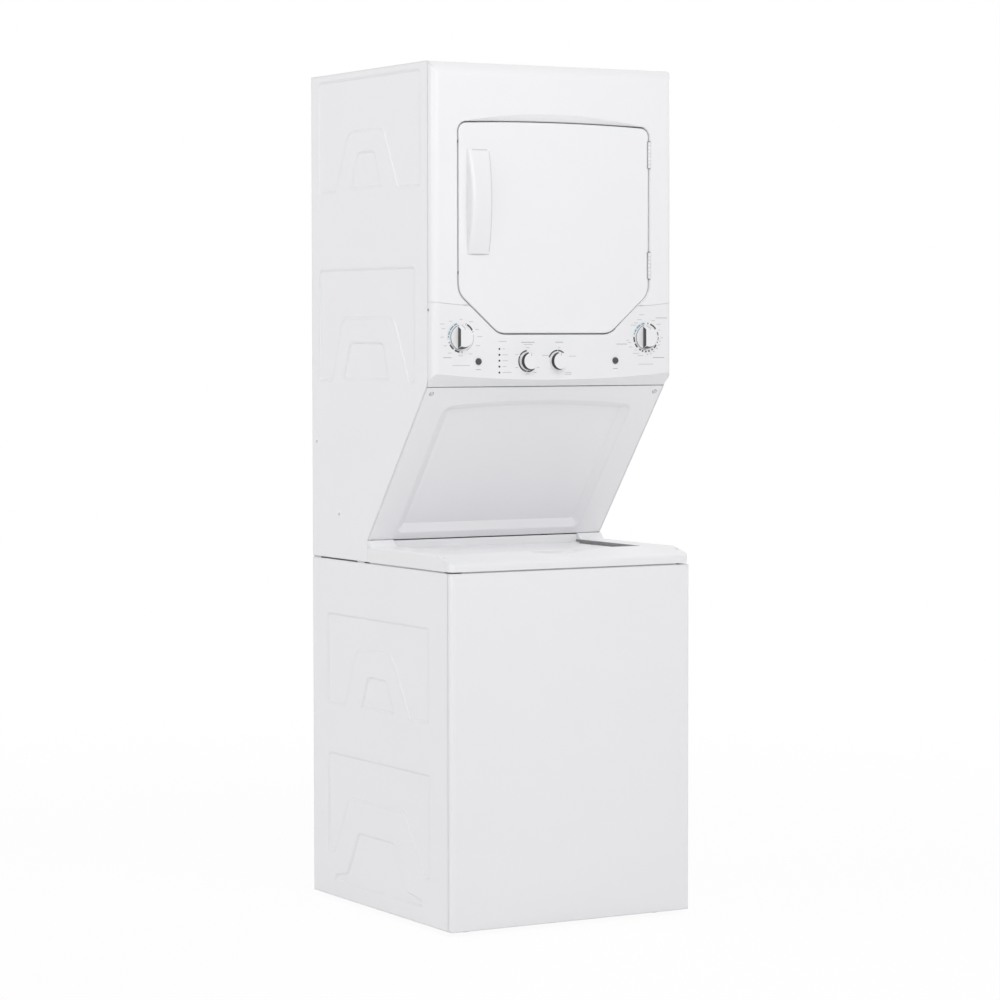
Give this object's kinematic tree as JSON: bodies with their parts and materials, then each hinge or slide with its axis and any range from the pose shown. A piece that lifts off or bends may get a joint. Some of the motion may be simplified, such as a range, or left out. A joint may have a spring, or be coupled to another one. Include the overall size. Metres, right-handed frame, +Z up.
{
  "type": "washer dryer stack",
  "caption": "White stacked laundry centre: a front door tumble dryer over a top loading washer in one cabinet, with a sloped access panel and knob controls between them.",
  "frame": {"origin": "on the floor, under the middle of the machine's box", "axes": "+Z up, the front with the door and controls faces -Y, +X is to the right seen from the front"},
  "size_m": [0.603, 0.676, 1.866],
  "materials": {
    "cabinet_enamel": "gloss white enamel on sheet steel",
    "white_plastic": "white moulded plastic",
    "dark_plastic": "dark grey plastic",
    "galvanised_steel": "bare zinc coated sheet",
    "stainless": "fine brushed",
    "drum_enamel": "light grey baked enamel",
    "tub_plastic": "natural moulded plastic",
    "black_rubber": "matte",
    "grey_felt": "pressed felt",
    "machined_steel": "turned",
    "cast_alloy": "die cast",
    "motor_paint": "dark grey paint",
    "brass": "plain",
    "light_lens": "dark translucent lens"
  },
  "bodies": {
    "cabinet": {"base_frame": "galvanised_steel", "leveling_feet": "black_rubber", "washer_left_panel": "cabinet_enamel", "washer_right_panel": "cabinet_enamel", "washer_front_panel": "cabinet_enamel", "washer_rear_panel": "galvanised_steel", "washer_top_cover": "white_plastic", "suspension_rods": "machined_steel", "suspension_springs": "machined_steel", "water_inlet_valve": "brass", "dryer_frame": "galvanised_steel", "dryer_left_panel": "cabinet_enamel", "dryer_right_panel": "cabinet_enamel", "dryer_top_panel": "cabinet_enamel", "dryer_rear_panel": "galvanised_steel", "dryer_front_panel": "cabinet_enamel", "control_panel": "white_plastic", "access_panel": "cabinet_enamel", "front_bulkhead": "galvanised_steel", "rear_bulkhead": "galvanised_steel", "dryer_motor": "motor_paint", "blower_housing": "galvanised_steel", "exhaust_duct": "galvanised_steel", "heater_box": "galvanised_steel", "drum_belt": "black_rubber", "idler_bracket": "galvanised_steel", "indicator_lights": "light_lens", "control_switches": "dark_plastic", "door_hinge_posts": "cabinet_enamel"},
    "tub": {"outer_tub": "tub_plastic", "tub_cover": "tub_plastic", "gear_case": "cast_alloy", "washer_motor": "motor_paint", "drain_pump": "dark_plastic", "washer_belt": "black_rubber"},
    "basket": {"wash_basket": "stainless", "balance_ring": "white_plastic", "spin_tube": "machined_steel"},
    "agitator": {"agitator": "white_plastic", "drive_shaft": "machined_steel", "washer_pulley": "cast_alloy"},
    "washer_rotor": {"washer_motor_pulley": "cast_alloy"},
    "lid": {"washer_lid": "cabinet_enamel"},
    "drum": {"dryer_drum": "drum_enamel", "drum_baffles": "drum_enamel"},
    "dryer_rotor": {"dryer_motor_shaft": "machined_steel", "blower_wheel": "dark_plastic"},
    "idler": {"idler_pulley": "dark_plastic"},
    "door": {"door_outer": "cabinet_enamel", "door_inner": "drum_enamel", "door_handle": "white_plastic", "door_seal": "grey_felt", "door_hinge_leaves": "cabinet_enamel"},
    "filter": {"lint_filter": "white_plastic"},
    "washer_knob": {"washer_cycle_knob": "white_plastic"},
    "dryer_knob": {"dryer_cycle_knob": "white_plastic"},
    "temperature": {"temperature_knob": "white_plastic"},
    "option": {"option_knob": "white_plastic"},
    "washer_button": {"washer_start_button": "dark_plastic"},
    "dryer_button": {"dryer_start_button": "dark_plastic"}
  },
  "joints": [
    {"name": "tub_float", "type": "slide", "parent": "cabinet", "child": "tub", "axis": [0, 0, 1], "range_m": [-0.02, 0.012], "stiffness_N_per_m": 16000, "springref_m": 0.01975, "deforming": ["suspension_springs"]},
    {"name": "basket_spin", "type": "hinge", "parent": "tub", "child": "basket", "pos_m": [0, -0.045, 0], "axis": [0, 0, 1], "continuous": true},
    {"name": "agitator_turn", "type": "hinge", "parent": "tub", "child": "agitator", "pos_m": [0, -0.045, 0], "axis": [0, 0, 1], "continuous": true},
    {"name": "washer_motor_turn", "type": "hinge", "parent": "tub", "child": "washer_rotor", "pos_m": [0.165, -0.02, 0], "axis": [0, 0, 1], "continuous": true},
    {"name": "lid_hinge", "type": "hinge", "parent": "cabinet", "child": "lid", "pos_m": [0, 0.034, 0.8025], "axis": [-1, 0, 0], "range_deg": [0, 54]},
    {"name": "drum_turn", "type": "hinge", "parent": "cabinet", "child": "drum", "pos_m": [0, 0, 1.54], "axis": [0, 1, 0], "continuous": true},
    {"name": "dryer_motor_turn", "type": "hinge", "parent": "cabinet", "child": "dryer_rotor", "pos_m": [0.07, 0, 1.188], "axis": [0, 1, 0], "continuous": true},
    {"name": "idler_turn", "type": "hinge", "parent": "cabinet", "child": "idler", "pos_m": [0.15506, 0, 1.24506], "axis": [0, 1, 0], "continuous": true},
    {"name": "door_hinge", "type": "hinge", "parent": "cabinet", "child": "door", "pos_m": [0.241, -0.264, 1.556], "axis": [0, 0, 1], "range_deg": [0, 160]},
    {"name": "filter_lift", "type": "slide", "parent": "cabinet", "child": "filter", "axis": [0, 0, 1], "range_m": [0, 0.13]},
    {"name": "washer_cycle_turn", "type": "hinge", "parent": "cabinet", "child": "washer_knob", "pos_m": [-0.2337, -0.263, 1.277], "axis": [0, -1, 0], "continuous": true},
    {"name": "dryer_cycle_turn", "type": "hinge", "parent": "cabinet", "child": "dryer_knob", "pos_m": [0.2337, -0.263, 1.2765], "axis": [0, -1, 0], "continuous": true},
    {"name": "temperature_turn", "type": "hinge", "parent": "cabinet", "child": "temperature", "pos_m": [-0.0685, -0.263, 1.226], "axis": [0, -1, 0], "range_deg": [-150, 0]},
    {"name": "option_turn", "type": "hinge", "parent": "cabinet", "child": "option", "pos_m": [0.0066, -0.263, 1.226], "axis": [0, -1, 0], "range_deg": [-120, 0]},
    {"name": "washer_start_press", "type": "slide", "parent": "cabinet", "child": "washer_button", "axis": [0, 1, 0], "range_m": [0, 0.003], "stiffness_N_per_m": 600},
    {"name": "dryer_start_press", "type": "slide", "parent": "cabinet", "child": "dryer_button", "axis": [0, 1, 0], "range_m": [0, 0.003], "stiffness_N_per_m": 600}
  ],
  "couplings": [
    {"joint": "washer_motor_turn", "follows": "agitator_turn", "ratio": 3.3661},
    {"joint": "dryer_motor_turn", "follows": "drum_turn", "ratio": 18.847},
    {"joint": "idler_turn", "follows": "drum_turn", "ratio": -13.451}
  ]
}
